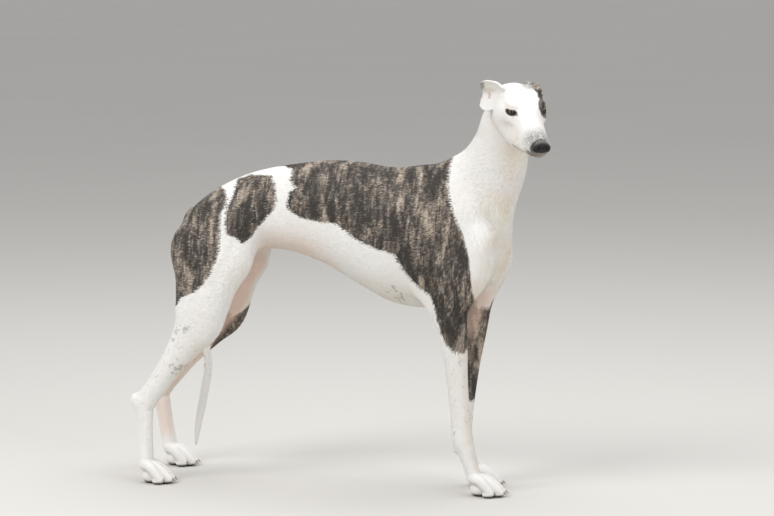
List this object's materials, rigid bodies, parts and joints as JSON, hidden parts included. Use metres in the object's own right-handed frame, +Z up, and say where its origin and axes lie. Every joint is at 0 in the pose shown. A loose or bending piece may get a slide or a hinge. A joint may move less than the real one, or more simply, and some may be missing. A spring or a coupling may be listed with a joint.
{
  "type": "greyhound",
  "caption": "Life-size standing greyhound, a still museum-type model, white with dark brindle patches, head turned to its right.",
  "frame": {"origin": "on the floor, under the middle of the box round the whole dog", "axes": "+X the way the trunk faces, +Y the dog's left, +Z up; the floor is Z = 0"},
  "size_m": [1.0017, 0.3676, 0.8902],
  "materials": {
    "head_surface": "very short coat, white with grey ticking on the muzzle and dark brindle round the left eye",
    "neck_surface": "short, close-lying white coat, slightly cream, matte with a soft sheen",
    "torso_surface": "short, close-lying coat, white with a dark brindle saddle of grey-brown and tan stripes, soft sheen",
    "tail_surface": "short, close-lying white coat, slightly cream, matte with a soft sheen",
    "nose_surface": "black, finely pebbled, moist nose leather",
    "ear_right_surface": "very short soft coat, white, over a thin folded leather",
    "eye_right_surface": "dark hazel eye, wet and glossy, with a black pupil",
    "foreleg_right_surface": "short coat, dark brindle at the top, white below with faint grey ticking",
    "forepaw_right_surface": "short, close-lying white coat, slightly cream, matte with a soft sheen",
    "thigh_right_surface": "short coat, white with a dark brindle patch over the buttock and hip",
    "shank_right_surface": "short, close-lying white coat, slightly cream, matte with a soft sheen",
    "hindpaw_right_surface": "short, close-lying white coat, slightly cream, matte with a soft sheen",
    "ear_left_surface": "very short soft coat, dark brindle with white, over a thin folded leather",
    "eye_left_surface": "dark hazel eye, wet and glossy, with a black pupil",
    "foreleg_left_surface": "short coat, dark brindle above, white below",
    "forepaw_left_surface": "short, close-lying white coat, slightly cream, matte with a soft sheen",
    "thigh_left_surface": "short coat, white with dark brindle over the buttock and the front of the thigh",
    "shank_left_surface": "short, close-lying white coat, slightly cream, matte with a soft sheen",
    "hindpaw_left_surface": "short, close-lying white coat, slightly cream, matte with a soft sheen"
  },
  "bodies": {
    "root": {"head": "head_surface", "neck": "neck_surface", "torso": "torso_surface", "tail": "tail_surface", "nose": "nose_surface", "ear_right": "ear_right_surface", "eye_right": "eye_right_surface", "foreleg_right": "foreleg_right_surface", "forepaw_right": "forepaw_right_surface", "thigh_right": "thigh_right_surface", "shank_right": "shank_right_surface", "hindpaw_right": "hindpaw_right_surface", "ear_left": "ear_left_surface", "eye_left": "eye_left_surface", "foreleg_left": "foreleg_left_surface", "forepaw_left": "forepaw_left_surface", "thigh_left": "thigh_left_surface", "shank_left": "shank_left_surface", "hindpaw_left": "hindpaw_left_surface"}
  },
  "joints": []
}
